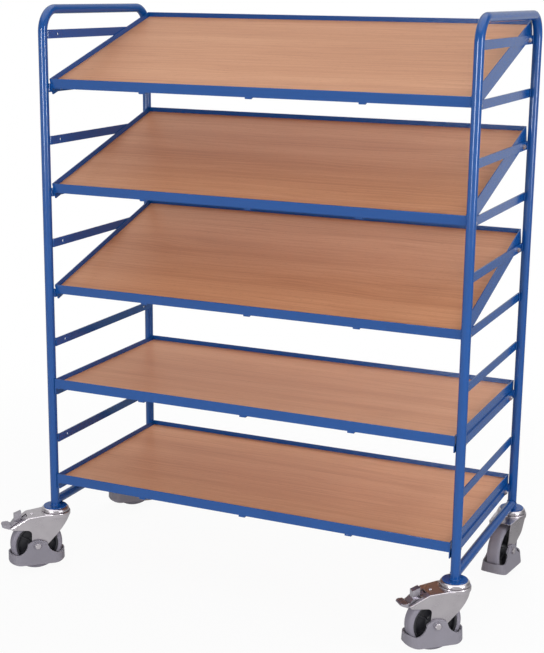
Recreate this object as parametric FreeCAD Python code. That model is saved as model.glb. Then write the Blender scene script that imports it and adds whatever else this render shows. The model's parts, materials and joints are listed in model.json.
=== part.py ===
import FreeCAD, Part
import math
import os

# Shelf trolley: two ladder sides of bent tube, five bolted shelves, four swivel casters, the front two braked.
# Millimetres, +Z up, +X along the shelves to the right, +Y to the rear, floor at Z = 0.

# Side frames
post_spacing_x = 1290.0
post_setback = 4.5
tube_diameter = 26.9
tube_wall = 2.0
top_bend_radius = 66.0
rung_count = 10
rung_pitch = 152.0
lowest_rung_rise = 65.5
top_bar_rise = 70.0
rung_height = 25.0
rung_thickness = 4.0
rung_bite = 2.4
rung_hole_diameter = 9.0
bolt_inset = 58.5
foot_plate_diameter = 72.0
foot_plate_thickness = 3.0
foot_spigot_length = 25.0
foot_tube_gap = 0.5

# Shelves, measured along the shelf from the rear bolts and upwards from the bolt line
tilted_rungs = [(1, 2), (3, 4), (5, 6)]
level_rungs = [(8, 8), (10, 10)]
shelf_depth = 615.0
shelf_tail = 59.5
end_plate_thickness = 3.0
end_plate_below = 7.5
end_plate_height = 48.0
end_plate_corner = 3.0
rim_height = 29.5
rim_thickness = 2.5
rim_flange = 25.0
board_thickness = 13.0
board_edge_gap = 0.5
support_width = 20.0
support_thickness = 5.0
support_spread = 331.0
notch_flare = 1.2

# Shelf fasteners
bolt_diameter = 8.0
bolt_head_across = 13.0
bolt_head_height = 5.3
nut_height = 6.5
bolt_end = 2.5

# Casters, in their own frame: swivel axis on Z, wheel trailing to +X, axle along Y
caster_height = 194.5
caster_trail = 62.0
wheel_diameter = 160.0
tyre_width = 40.0
tyre_thickness = 15.0
tyre_shoulder = 9.0
rim_width = 36.0
rim_wall = 7.0
web_thickness = 12.0
hub_diameter = 40.0
swivel_head_diameter = 85.0
swivel_head_height = 13.2
crown_diameter = 92.0
crown_height = 10.0
crown_edge = 2.0
fork_sheet = 3.0
fork_inner_width = 46.0
fork_fold_rise = 15.0
leg_radius = 25.0
leg_front = 16.5
arm_reach = 80.0
arm_tip_width = 54.0
arm_tip_rise = 57.0
arm_underside = 52.0
arm_curve = 14.0
arm_nose = 4.0
roof_tip_rise = 62.5
roof_step = 1.5
roof_fall = 5.0
roof_break = 26.0
crown_ledge = 11.0
king_bolt_diameter = 12.0
king_head_across = 19.0
king_head_height = 7.5
axle_diameter = 10.0
axle_head_across = 17.0
axle_head_height = 6.0
axle_end = 2.0
bush_diameter = 15.0
guard_length = 172.0
guard_width = 84.0
guard_corner = 34.0
guard_floor_gap = 22.0
guard_toe_rise = 10.0
guard_toe_reach = 50.0
guard_wall = 4.0
guard_cheek_gap = 1.6
guard_ring_top = 54.0
guard_ear_rise = 17.0
guard_ear_reach = 30.0
guard_ear_round = 11.0
guard_dip_reach = 62.0
guard_end_rise = 4.0
guard_end_reach = 80.0
guard_boss_diameter = 26.0
guard_boss_length = 9.5
pedal_pin_diameter = 7.0
pedal_pin_ahead = 65.0
pedal_pin_above = 62.0
pedal_pin_end = 2.0
pedal_width = 34.0
pedal_side_gap = 2.0
pedal_reach = 40.0
pedal_lock_angle = 15.0
tongue_width = 44.0
tongue_start = 19.0
tongue_rise = 9.5
tongue_nose = 3.0
saddle_reach = 12.0
saddle_rise = 6.0
tab_width = 20.0
tab_length = 22.0
tab_rise = 42.5
tab_slant = 4.0
tab_root = 18.0
tab_back = 9.0
tail_back = 35.0
tail_rise = 28.0
tail_thickness = 5.0
cam_radius = 6.0
cam_width = 30.0
window_behind_pin = 22.0
groove_count = 3
groove_pitch = 5.0
groove_depth = 1.0
front_left_angle = 222.0
front_right_angle = 222.0
rear_left_angle = 222.0
rear_right_angle = 262.3

# Clearances
running_fit = 0.05
side_play = 0.3
brake_gap = 0.6
through = 1.0

# Derived places
tube_radius = tube_diameter / 2
post_x = post_spacing_x / 2
post_y = shelf_depth / 2 - post_setback
bolt_y = post_y - bolt_inset
rung_outer_x = post_x - tube_radius + rung_bite
rung_inner_x = rung_outer_x - rung_thickness
plate_outer_x = rung_inner_x - side_play
plate_inner_x = plate_outer_x - end_plate_thickness
foot_plate_top = caster_height + foot_plate_thickness
lowest_rung_height = foot_plate_top + lowest_rung_rise
top_bar_z = lowest_rung_height + (rung_count - 1) * rung_pitch + top_bar_rise
wheel_radius = wheel_diameter / 2
axle_z = wheel_radius
crown_top = caster_height - swivel_head_height - side_play
cheek_inner = fork_inner_width / 2
cheek_outer = cheek_inner + fork_sheet
fork_floor = axle_z - 2 * leg_radius
arm_tip_x = caster_trail + arm_reach
pin_x = caster_trail + pedal_pin_ahead
pin_z = axle_z + pedal_pin_above
guard_top = axle_z + guard_ear_rise
caster_angles = {
    "front_left": front_left_angle,
    "front_right": front_right_angle,
    "rear_left": rear_left_angle,
    "rear_right": rear_right_angle,
}

nodes = {}


def vec(x, y, z):
    return FreeCAD.Vector(x, y, z)


def rung_z(number):
    return lowest_rung_height + (rung_count - number) * rung_pitch


def rod(radius, start, end):
    run = end - start
    return Part.makeCylinder(radius, run.Length, start, run)


def block(x0, x1, y0, y1, z0, z1):
    return Part.makeBox(x1 - x0, y1 - y0, z1 - z0, vec(x0, y0, z0))


def outline_edges(points):
    # Straight runs between the points; a point given as a pair of points is reached by an arc.
    edges = []
    here = points[0]
    for step in points[1:]:
        if isinstance(step, tuple):
            edges.append(Part.Arc(here, step[0], step[1]).toShape())
            here = step[1]
        else:
            edges.append(Part.makeLine(here, step))
            here = step
    if not here.isEqual(points[0], 1e-6):
        edges.append(Part.makeLine(here, points[0]))
    return edges


def plate(points, direction):
    face = Part.Face(Part.Wire(outline_edges(points)))
    return face.extrude(direction)


def side_plate(points, y0, y1):
    # Plate across Y from an outline given as (x, z), or as ((x, z), (x, z)) for an arc.
    placed = []
    for point in points:
        if isinstance(point[0], tuple):
            placed.append((vec(point[0][0], y0, point[0][1]), vec(point[1][0], y0, point[1][1])))
        else:
            placed.append(vec(point[0], y0, point[1]))
    return plate(placed, vec(0, y1 - y0, 0))


def turned(points, centre, axis):
    # Solid turned about an axis from an outline given as (radius, height along the axis).
    across = vec(1, 0, 0)
    placed = [centre + across * radius + axis * height for radius, height in points]
    face = Part.Face(Part.makePolygon(placed + placed[:1]))
    return face.revolve(centre, axis, 360)


def hexagon(across_flats, height, base, axis, up):
    # Hexagon bar standing on its base, one flat square to the given upward direction.
    side = axis.cross(up)
    points = []
    for turn in range(6):
        angle = math.radians(60 * turn)
        reach = across_flats / math.sqrt(3)
        points.append(base + side * (reach * math.cos(angle)) + up * (reach * math.sin(angle)))
    return plate(points, axis * height)


def circle_edges(solid, radius, height):
    # Round edges of one radius lying level at one height.
    found = []
    for edge in solid.Edges:
        curve = edge.Curve
        if isinstance(curve, Part.Circle) and abs(curve.Radius - radius) < 1e-4:
            if abs(curve.Center.z - height) < 1e-4:
                found.append(edge)
    return found


def add(name, shapes):
    nodes[name] = Part.makeCompound(shapes) if len(shapes) > 1 else shapes[0]


def side_tube(side):
    x = side * post_x
    bend = top_bend_radius
    slant = bend * (1 - math.sqrt(0.5))
    points = [
        vec(x, -post_y, foot_plate_top),
        vec(x, -post_y, top_bar_z - bend),
        (vec(x, -post_y + slant, top_bar_z - slant), vec(x, -post_y + bend, top_bar_z)),
        vec(x, post_y - bend, top_bar_z),
        (vec(x, post_y - slant, top_bar_z - slant), vec(x, post_y, top_bar_z - bend)),
        vec(x, post_y, foot_plate_top),
    ]
    path = Part.Wire(outline_edges(points)[:-1])
    skins = []
    for radius in (tube_radius, tube_radius - tube_wall):
        ring = Part.Wire(Part.Circle(points[0], vec(0, 0, 1), radius).toShape())
        skins.append(path.makePipeShell([ring], True, False))
    return skins[0].cut(skins[1])


def rung(side, number):
    # Flat bar ending against the posts; the uppermost one is shorter where the tube starts to bend.
    z = rung_z(number)
    beside_post = math.sqrt(2 * tube_radius * rung_bite - rung_bite * rung_bite)
    bend = top_bend_radius - beside_post
    into_bend = max(0, z + rung_height / 2 - top_bar_z + top_bend_radius)
    drawn_in = bend - math.sqrt(bend * bend - into_bend * into_bend)
    reach = post_y - beside_post - drawn_in - running_fit
    x0, x1 = sorted((side * rung_inner_x, side * rung_outer_x))
    bar = block(x0, x1, -reach, reach, z - rung_height / 2, z + rung_height / 2)
    for y in (-bolt_y, bolt_y):
        bar = bar.cut(rod(rung_hole_diameter / 2, vec(x0 - through, y, z), vec(x1 + through, y, z)))
    return bar


def foot_tube(side):
    x = side * post_x
    z = foot_plate_top + foot_tube_gap + tube_radius
    tube = rod(tube_radius, vec(x, -post_y, z), vec(x, post_y, z))
    tube = tube.cut(rod(tube_radius - tube_wall, vec(x, -post_y, z), vec(x, post_y, z)))
    for y in (-post_y, post_y):
        tube = tube.cut(rod(tube_radius, vec(x, y, z - tube_diameter), vec(x, y, z + tube_diameter)))
    return tube


def foot_plate(x, y):
    hole = king_bolt_diameter / 2 + running_fit
    spigot = tube_radius - tube_wall - running_fit
    edge = foot_plate_diameter / 2
    round_off = foot_plate_thickness / 4
    points = [
        (hole, 0),
        (edge, 0),
        (edge, foot_plate_thickness - round_off),
        (edge - round_off, foot_plate_thickness),
        (spigot, foot_plate_thickness),
        (spigot, foot_plate_thickness + foot_spigot_length),
        (hole, foot_plate_thickness + foot_spigot_length),
    ]
    return turned(points, vec(x, y, caster_height), vec(0, 0, 1))


def swivel_head(x, y):
    hole = king_bolt_diameter / 2 + running_fit
    edge = swivel_head_diameter / 2
    lip = swivel_head_height / 4
    points = [
        (hole, 0),
        (edge - lip, 0),
        (edge, lip),
        (edge, 3 * lip),
        (edge - 2 * lip, 4 * lip),
        (hole, 4 * lip),
    ]
    return turned(points, vec(x, y, crown_top + side_play), vec(0, 0, 1))


def king_bolt(x, y):
    under_crown = crown_top - fork_sheet - side_play
    top = foot_plate_top + foot_spigot_length
    shank = rod(king_bolt_diameter / 2, vec(x, y, under_crown - king_head_height / 2), vec(x, y, top))
    base = vec(x, y, under_crown - king_head_height)
    return shank.fuse(hexagon(king_head_across, king_head_height, base, vec(0, 0, 1), vec(1, 0, 0)))


def bolt_places():
    # One place per shelf bolt: side, Y and Z of its axis.
    places = []
    for rear, front in tilted_rungs + level_rungs:
        for side in (-1, 1):
            places.append((side, bolt_y, rung_z(rear)))
            places.append((side, -bolt_y, rung_z(front)))
    return places


def shelf_bolt(side, y, z):
    outward = vec(side, 0, 0)
    head_start = plate_inner_x - side_play - bolt_head_height
    tip = rung_outer_x + nut_height + bolt_end
    shank_start = head_start + bolt_head_height / 2
    shank = rod(bolt_diameter / 2, vec(side * shank_start, y, z), vec(side * tip, y, z))
    head = hexagon(bolt_head_across, bolt_head_height, vec(side * head_start, y, z), outward, vec(0, 0, 1))
    return shank.fuse(head)


def shelf_nut(side, y, z):
    outward = vec(side, 0, 0)
    nut = hexagon(bolt_head_across, nut_height, vec(side * rung_outer_x, y, z), outward, vec(0, 0, 1))
    hole = bolt_diameter / 2 + running_fit
    x0 = side * (rung_outer_x - through)
    x1 = side * (rung_outer_x + nut_height + through)
    return nut.cut(rod(hole, vec(x0, y, z), vec(x1, y, z)))


def level_reach():
    return 2 * bolt_y


def tilted_reach():
    return math.hypot(2 * bolt_y, rung_pitch)


def end_plate(side):
    # Local shelf frame: rear bolts on the X axis, front towards -Y, shelf normal +Z.
    tail = shelf_tail
    nose = tail - shelf_depth
    x0, x1 = sorted((side * plate_inner_x, side * plate_outer_x))
    piece = block(x0, x1, nose, tail, -end_plate_below, end_plate_height - end_plate_below)
    corners = []
    for edge in piece.Edges:
        ends = [vertex.Point for vertex in edge.Vertexes]
        if abs(ends[0].x - ends[1].x) > end_plate_thickness / 2 and ends[0].z < 0:
            corners.append(edge)
    piece = piece.makeFillet(end_plate_corner, corners)
    radius = bolt_diameter / 2 + running_fit
    piece = piece.cut(rod(radius, vec(x0 - through, 0, 0), vec(x1 + through, 0, 0)))
    start_x = x0 - through
    below = -end_plate_below - through
    for reach in (level_reach(), tilted_reach()):
        mouth = radius + notch_flare
        points = [
            vec(start_x, -reach - radius, 0),
            (vec(start_x, -reach, radius), vec(start_x, -reach + radius, 0)),
            vec(start_x, -reach + mouth, below),
            vec(start_x, -reach - mouth, below),
        ]
        piece = piece.cut(plate(points, vec(x1 + through - start_x, 0, 0)))
    return piece


def rim(y_edge, inward):
    # L-shaped rim between the end plates, its upright leg flush with the shelf edge.
    top = end_plate_height - end_plate_below
    base = top - rim_height
    points = [
        (y_edge, base),
        (y_edge + inward * rim_flange, base),
        (y_edge + inward * rim_flange, base + rim_thickness),
        (y_edge + inward * rim_thickness, base + rim_thickness),
        (y_edge + inward * rim_thickness, top),
        (y_edge, top),
    ]
    placed = [vec(-plate_inner_x, y, z) for y, z in points]
    return plate(placed, vec(2 * plate_inner_x, 0, 0))


def shelf_pieces():
    nose = shelf_tail - shelf_depth
    flange_under = end_plate_height - end_plate_below - rim_height
    board_under = flange_under + rim_thickness
    inset = rim_thickness + board_edge_gap
    supports = []
    for x in (-support_spread, 0, support_spread):
        x0 = x - support_width / 2
        z0 = flange_under - support_thickness
        supports.append(block(x0, x0 + support_width, nose, shelf_tail, z0, flange_under))
    board = block(
        -plate_inner_x + board_edge_gap,
        plate_inner_x - board_edge_gap,
        nose + inset,
        shelf_tail - inset,
        board_under,
        board_under + board_thickness,
    )
    return {
        "end_plates": [end_plate(-1), end_plate(1)],
        "rims": [rim(nose, 1), rim(shelf_tail, -1)],
        "supports": supports,
        "board": [board],
    }


def placed_shelf(shapes, rear, front):
    drop = math.degrees(math.atan2((front - rear) * rung_pitch, 2 * bolt_y))
    moved = []
    for shape in shapes:
        piece = shape.copy()
        piece.rotate(vec(0, 0, 0), vec(1, 0, 0), drop)
        piece.translate(vec(0, bolt_y, rung_z(rear)))
        moved.append(piece)
    return moved


def hexahedron(low, high):
    # Solid between two four-cornered outlines, all six sides flat.
    faces = [low, high]
    for corner in range(4):
        beside = (corner + 1) % 4
        faces.append([low[corner], low[beside], high[beside], high[corner]])
    shell = Part.makeShell([Part.Face(Part.makePolygon(face + face[:1])) for face in faces])
    solid = Part.makeSolid(shell)
    return solid if solid.Volume > 0 else solid.reversed()


def cheek_plane():
    # Outer cheek as y = base + along * x + rise * z: wide at the crown, parallel legs below the fold.
    crown = crown_diameter / 2
    fold_drop = crown_top - axle_z - fork_fold_rise
    tip_drop = crown_top - axle_z - arm_tip_rise
    fold_step = cheek_outer - crown
    tip_step = arm_tip_width / 2 - crown
    scale = fold_drop * arm_tip_x - tip_drop * caster_trail
    along = (fold_drop * tip_step - tip_drop * fold_step) / scale
    rise = (caster_trail * tip_step - arm_tip_x * fold_step) / scale
    return crown - rise * crown_top, along, rise


def fork_shell(inset):
    # Body of the fork before its side outline is cut: cone below the crown, slanted cheeks, legs.
    base, along, rise = cheek_plane()
    base -= inset * math.sqrt(1 + along * along + rise * rise)
    end_x = arm_tip_x + 4 * inset
    outlines = []
    radii = []
    for z in (fork_floor, crown_top):
        near = base + rise * z
        far = near + along * end_x
        outlines.append([vec(0, -near, z), vec(end_x, -far, z), vec(end_x, far, z), vec(0, near, z)])
        radii.append(near / math.sqrt(1 + along * along))
    cheeks = hexahedron(*outlines)
    cone = Part.makeCone(radii[0], radii[1], crown_top - fork_floor, vec(0, 0, fork_floor))
    half = cheek_outer - inset
    legs = block(0, end_x, -half, half, fork_floor, crown_top)
    return cone.fuse([cheeks, legs])


def roof_line(drop):
    # Upper edge of the arm from the pedal end to the crown, lowered for the hollow.
    top = crown_top - roof_step
    shoulder_x = caster_trail + roof_break
    run = arm_tip_x - shoulder_x
    slope = (top - roof_fall - axle_z - roof_tip_rise) / run
    slanted = drop * math.sqrt(1 + slope * slope)
    return [
        (arm_tip_x, axle_z + roof_tip_rise - slanted),
        (shoulder_x, top - roof_fall - slanted),
        (caster_trail - roof_break, top - drop),
        (-crown_diameter / 2 - drop, top - drop),
    ]


def fork(braked):
    # A braked fork has an arm over the wheel for the pedal; a plain one ends at the roof's shoulder.
    half = crown_diameter / 2
    start_x, start_z = -half, crown_top - crown_height
    reach = math.hypot(caster_trail - start_x, axle_z - start_z)
    angle = math.atan2(start_z - axle_z, start_x - caster_trail) + math.acos(leg_radius / reach)
    front = math.acos(leg_front / leg_radius)
    middle = (angle + 2 * math.pi - front) / 2
    curve = math.sqrt(0.5) * arm_curve
    front_x = caster_trail + leg_front
    arc_x = front_x + arm_curve
    arc_z = axle_z + arm_underside
    side_points = [
        (start_x, start_z),
        (caster_trail + leg_radius * math.cos(angle), axle_z + leg_radius * math.sin(angle)),
        (
            (caster_trail + leg_radius * math.cos(middle), axle_z + leg_radius * math.sin(middle)),
            (front_x, axle_z - leg_radius * math.sin(front)),
        ),
    ]
    if braked:
        side_points += [
            (front_x, arc_z - arm_curve),
            ((arc_x - curve, arc_z - arm_curve + curve), (arc_x, arc_z)),
            (arm_tip_x - arm_nose, arc_z + arm_nose),
        ] + roof_line(0)
    else:
        side_points += [(front_x, axle_z + fork_fold_rise)] + roof_line(0)[1:]
    outer = fork_shell(0).common(side_plate(side_points, -half - through, half + through))
    crown = Part.makeCylinder(half, crown_height, vec(0, 0, crown_top - crown_height))
    crown = crown.makeChamfer(crown_edge, circle_edges(crown, half, crown_top))
    beyond = arm_tip_x + 3 * fork_sheet
    hollow_points = [(-half - fork_sheet, fork_floor), (beyond, fork_floor), (beyond, arc_z)]
    hollow_points += roof_line(fork_sheet)
    inner = fork_shell(fork_sheet).common(side_plate(hollow_points, -half, half))
    well_floor = crown_top - fork_sheet - crown_height
    well = Part.makeCylinder(half - crown_ledge, crown_height, vec(0, 0, well_floor))
    body = outer.fuse(crown).cut(inner.fuse(well))
    hole = king_bolt_diameter / 2 + running_fit
    body = body.cut(rod(hole, vec(0, 0, crown_top - crown_height), vec(0, 0, crown_top + through)))
    hole = axle_diameter / 2 + running_fit
    body = body.cut(rod(hole, vec(caster_trail, -half, axle_z), vec(caster_trail, half, axle_z)))
    if not braked:
        return [body]
    hole = pedal_pin_diameter / 2 + running_fit
    body = body.cut(rod(hole, vec(pin_x, -half, pin_z), vec(pin_x, half, pin_z)))
    mouth = pedal_width / 2 + pedal_side_gap
    window_start = pin_x - window_behind_pin
    body = body.cut(block(window_start, beyond, -mouth, mouth, arc_z, crown_top))
    slot = tab_width / 2 + pedal_side_gap
    slot_start = pin_x - tail_back - pedal_side_gap
    body = body.cut(block(slot_start, beyond, -slot, slot, arc_z, crown_top))
    base, along, rise = cheek_plane()
    pin_half = base + along * pin_x + rise * pin_z + pedal_pin_end
    pin = rod(pedal_pin_diameter / 2, vec(pin_x, -pin_half, pin_z), vec(pin_x, pin_half, pin_z))
    return [body, pin]


def pedal():
    # Rocker on the brake pin: tongue in front, release tab above, tail behind, cam towards the tyre.
    tab_rear = -tab_back - tab_length / 2
    tab_front = tab_rear + tab_length
    rocker_points = [
        (tab_rear, tab_rise + tab_slant),
        (tab_front, tab_rise - tab_slant),
        (tab_front, tab_root),
        (saddle_reach, saddle_rise),
        (tongue_start, tongue_rise),
        (pedal_reach - tongue_nose, tongue_rise),
        (pedal_reach, tongue_rise - tongue_nose),
        (pedal_reach, tongue_rise - 2 * tongue_nose),
        (pedal_reach - saddle_reach, 0),
        (saddle_reach, -pedal_pin_diameter),
        (-pedal_pin_diameter, -tongue_nose),
        (-tail_back, tail_rise - tail_thickness),
        (-tail_back, tail_rise),
        (tab_rear, tab_root),
    ]
    placed = [(pin_x + x, pin_z + z) for x, z in rocker_points]
    half = pedal_width / 2
    rocker = side_plate(placed, -half, half)
    for side in (-1, 1):
        y0, y1 = sorted((side * tab_width / 2, side * (half + through)))
        top = pin_z + 2 * tab_rise
        for x0, x1, z0 in ((-2 * tail_back, tab_rear, 0), (tab_rear, pedal_reach, tab_root)):
            rocker = rocker.cut(block(pin_x + x0, pin_x + x1, y0, y1, pin_z + z0, top))
    tongue_half = tongue_width / 2
    tongue = side_plate(placed, -tongue_half, tongue_half)
    corner = tongue_half / 2
    slant = corner * (1 - math.sqrt(0.5))
    start_x, end_x = pin_x + tongue_start, pin_x + pedal_reach
    under = pin_z - tab_root
    plan = [
        vec(start_x, -tongue_half, under),
        vec(end_x - corner, -tongue_half, under),
        (vec(end_x - slant, -tongue_half + slant, under), vec(end_x, -tongue_half + corner, under)),
        vec(end_x, tongue_half - corner, under),
        (vec(end_x - slant, tongue_half - slant, under), vec(end_x - corner, tongue_half, under)),
        vec(start_x, tongue_half, under),
    ]
    rocker = rocker.fuse(tongue.common(plate(plan, vec(0, 0, 2 * tab_root))))
    groove_floor = pin_z + tongue_rise - groove_depth
    for step in range(groove_count):
        x0 = start_x + groove_pitch * (step + 0.5)
        x1 = x0 + groove_pitch / 2
        rocker = rocker.cut(block(x0, x1, -tongue_half, tongue_half, groove_floor, pin_z + tab_root))
    to_wheel = math.atan2(-pedal_pin_above, -pedal_pin_ahead)
    cam_angle = to_wheel + math.radians(pedal_lock_angle)
    free = math.hypot(pedal_pin_ahead, pedal_pin_above) - wheel_radius - brake_gap
    cam_x = pin_x + (free - cam_radius) * math.cos(cam_angle)
    cam_z = pin_z + (free - cam_radius) * math.sin(cam_angle)
    cam_half = cam_width / 2
    hub = rod(pedal_pin_diameter, vec(pin_x, -cam_half, pin_z), vec(pin_x, cam_half, pin_z))
    cam = rod(cam_radius, vec(cam_x, -cam_half, cam_z), vec(cam_x, cam_half, cam_z))
    rocker = rocker.fuse([hub, cam])
    hole = pedal_pin_diameter / 2 + running_fit
    return rocker.cut(rod(hole, vec(pin_x, -tongue_half, pin_z), vec(pin_x, tongue_half, pin_z)))


def guard_block(half_x, half_y, lean, height):
    # Block on the guard's lower level whose long sides lean in.
    outlines = []
    for y, z in ((half_y, guard_floor_gap), (half_y - lean, guard_floor_gap + height)):
        x0, x1 = caster_trail - half_x, caster_trail + half_x
        outlines.append([vec(x0, -y, z), vec(x1, -y, z), vec(x1, y, z), vec(x0, y, z)])
    return hexahedron(*outlines)


def guard_shell(inset):
    # Ring round the wheel, drawn in by the given amount: upright ends, sides leaning in upwards.
    length = guard_length / 2
    width = guard_width / 2
    lean = width - cheek_outer - guard_wall - guard_cheek_gap
    corner_x = length - guard_corner
    corner_y = width - guard_corner
    ring_height = guard_ring_top + guard_end_rise - guard_floor_gap
    ring_lean = lean * ring_height / (guard_top - guard_floor_gap)
    ends = guard_block(length - inset, corner_y, ring_lean, ring_height)
    pieces = [guard_block(corner_x, width - inset, lean, guard_top - guard_floor_gap)]
    for sign_x in (-1, 1):
        for sign_y in (-1, 1):
            foot = vec(caster_trail + sign_x * corner_x, sign_y * corner_y, guard_floor_gap)
            ring = Part.Circle(foot, vec(0, 0, 1), guard_corner - inset).toShape()
            disc = Part.Face(Part.Wire(ring))
            pieces.append(disc.extrude(vec(0, -sign_y * ring_lean, ring_height)))
    return ends.fuse(pieces)


def guard():
    # Low along both sides, higher at the ends and lifted below them, with an ear round the axle ends.
    width = guard_width / 2
    beyond = guard_length / 2 + guard_wall
    end_top = guard_ring_top + guard_end_rise
    shoulder = guard_top - guard_ear_round
    bow_x = (guard_dip_reach + guard_ear_reach - guard_ear_round) / 2
    bow_z = (guard_ring_top + shoulder - guard_ear_round) / 2
    toe_z = guard_floor_gap + guard_toe_rise
    toe_bend = ((guard_toe_reach + beyond) / 2, guard_floor_gap + guard_toe_rise / 4)
    wall = guard_shell(0).cut(guard_shell(guard_wall))
    ear_points = [
        (beyond, toe_z),
        (beyond, end_top),
        (guard_end_reach, end_top),
        (guard_dip_reach, guard_ring_top),
        ((bow_x, bow_z), (guard_ear_reach, shoulder)),
        ((0, guard_top), (-guard_ear_reach, shoulder)),
        ((-bow_x, bow_z), (-guard_dip_reach, guard_ring_top)),
        (-guard_end_reach, end_top),
        (-beyond, end_top),
        (-beyond, toe_z),
        ((-toe_bend[0], toe_bend[1]), (-guard_toe_reach, guard_floor_gap)),
        (guard_toe_reach, guard_floor_gap),
        (toe_bend, (beyond, toe_z)),
    ]
    placed = []
    for point in ear_points:
        if isinstance(point[0], tuple):
            placed.append(tuple((caster_trail + x, z) for x, z in point))
        else:
            placed.append((caster_trail + point[0], point[1]))
    piece = wall.common(side_plate(placed, -width - through, width + through))
    for side in (-1, 1):
        start = vec(caster_trail, side * cheek_outer, axle_z)
        end = vec(caster_trail, side * (cheek_outer + guard_boss_length), axle_z)
        piece = piece.fuse(rod(guard_boss_diameter / 2, start, end))
    hole = axle_diameter / 2 + running_fit
    return piece.cut(rod(hole, vec(caster_trail, -width, axle_z), vec(caster_trail, width, axle_z)))


def axle():
    across = vec(0, 1, 0)
    seat = cheek_outer + guard_boss_length
    centre = vec(caster_trail, 0, axle_z)
    head = hexagon(axle_head_across, axle_head_height, centre + across * seat, across, vec(0, 0, 1))
    tail = seat + axle_head_height + axle_end
    bolt = rod(axle_diameter / 2, centre - across * tail, centre + across * (seat + through)).fuse(head)
    nut = hexagon(axle_head_across, axle_head_height, centre - across * seat, across * -1, vec(0, 0, 1))
    nut = nut.cut(rod(axle_diameter / 2 + running_fit, centre - across * (tail + through), centre))
    return [bolt, nut]


def bush():
    sleeve = (axle_diameter / 2 + running_fit, bush_diameter / 2)
    points = [
        (sleeve[0], -cheek_inner),
        (sleeve[1], -cheek_inner),
        (sleeve[1], cheek_inner),
        (sleeve[0], cheek_inner),
    ]
    return turned(points, vec(caster_trail, 0, axle_z), vec(0, 1, 0))


def wheel_core():
    bore = bush_diameter / 2 + running_fit
    hub = hub_diameter / 2
    rim_radius = wheel_radius - tyre_thickness
    upper = [
        (bore, cheek_inner - side_play),
        (hub, cheek_inner - side_play),
        (hub, web_thickness / 2),
        (rim_radius - rim_wall, web_thickness / 2),
        (rim_radius - rim_wall, rim_width / 2),
        (rim_radius, rim_width / 2),
    ]
    lower = [(radius, -height) for radius, height in reversed(upper)]
    return turned(upper + lower, vec(caster_trail, 0, axle_z), vec(0, 1, 0))


def tyre():
    inner = wheel_radius - tyre_thickness
    half = tyre_width / 2
    upper = [
        (wheel_radius, half - tyre_shoulder),
        (wheel_radius - tyre_shoulder / 3, half - tyre_shoulder / 3),
        (wheel_radius - tyre_shoulder, half),
        (inner, half),
    ]
    lower = [(radius, -height) for radius, height in reversed(upper)]
    return turned(upper + lower, vec(caster_trail, 0, axle_z), vec(0, 1, 0))


def post_places():
    return {
        "front_left": (-post_x, -post_y),
        "front_right": (post_x, -post_y),
        "rear_left": (-post_x, post_y),
        "rear_right": (post_x, post_y),
    }


def placed_caster(shapes, name):
    x, y = post_places()[name]
    moved = []
    for shape in shapes:
        piece = shape.copy()
        piece.rotate(vec(0, 0, 0), vec(0, 0, 1), caster_angles[name])
        piece.translate(vec(x, y, 0))
        moved.append(piece)
    return moved


def build():
    for side, word in ((-1, "left"), (1, "right")):
        add(word + "_side_tube", [side_tube(side)])
        add(word + "_rungs", [rung(side, number) for number in range(1, rung_count + 1)])
        add(word + "_foot_tube", [foot_tube(side)])
    corners = list(post_places().values())
    add("foot_plates", [foot_plate(x, y) for x, y in corners])
    add("swivel_heads", [swivel_head(x, y) for x, y in corners])
    add("king_bolts", [king_bolt(x, y) for x, y in corners])
    add("shelf_bolts", [shelf_bolt(*place) for place in bolt_places()])
    add("shelf_nuts", [shelf_nut(*place) for place in bolt_places()])
    pieces = shelf_pieces()
    for number, (rear, front) in enumerate(tilted_rungs + level_rungs, 1):
        for word, shapes in pieces.items():
            add("shelf_%d_%s" % (number, word), placed_shelf(shapes, rear, front))
    rolling = {
        "axle": axle(),
        "bush": [bush()],
        "wheel_core": [wheel_core()],
        "tyre": [tyre()],
        "guard": [guard()],
    }
    front = dict(rolling, fork=fork(True), pedal=[pedal()])
    rear = dict(rolling, fork=fork(False))
    for name in post_places():
        caster = front if name.startswith("front") else rear
        for word, shapes in caster.items():
            add(name + "_" + word, placed_caster(shapes, name))


def export():
    # The origin lies on the floor below the middle of the whole outline.
    box = Part.makeCompound(list(nodes.values())).optimalBoundingBox(False, False)
    shift = vec(-box.Center.x, -box.Center.y, 0)
    os.makedirs("parts", exist_ok=True)
    for name, shape in nodes.items():
        shape.translate(shift)
        shape.exportStep("parts/%s.step" % name)
    print("shift %.3f %.3f" % (shift.x, shift.y))


build()
export()
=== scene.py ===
import json
import math
import bmesh
import bpy
from mathutils import Matrix, Vector


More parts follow.
